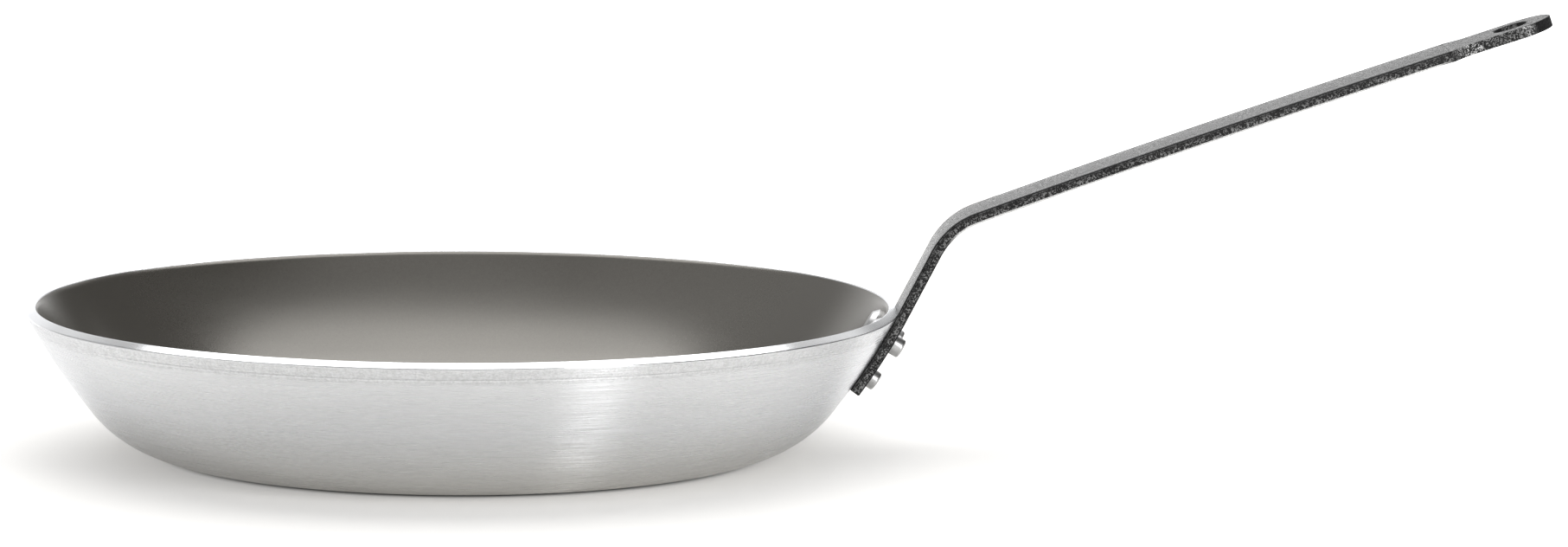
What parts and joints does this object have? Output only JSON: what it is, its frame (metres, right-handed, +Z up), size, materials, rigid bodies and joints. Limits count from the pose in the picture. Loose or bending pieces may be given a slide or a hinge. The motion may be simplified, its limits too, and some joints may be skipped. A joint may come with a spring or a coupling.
{
  "type": "omelette pan",
  "caption": "Round flat-bottomed omelette pan with flared walls, a dark non-stick inside and a long flat strap handle riveted to the wall, with a hanging hole.",
  "frame": {"origin": "centre of the flat base, on the table", "axes": "+X from the pan's centre along the handle, +Z up, +Y to the left seen from the handle's end towards the pan"},
  "size_m": [0.5577, 0.32, 0.1634],
  "materials": {
    "shell": "turned satin aluminium with fine rings",
    "coating": "matte dark grey non-stick lining",
    "bar": "steel with a dark grey coating of a fine rough texture",
    "rivets": "satin aluminium"
  },
  "bodies": {
    "root": {"pan_body": "shell", "nonstick_coating": "coating", "handle": "bar", "rivet_upper_left": "rivets", "rivet_upper_right": "rivets", "rivet_lower": "rivets"}
  },
  "joints": []
}
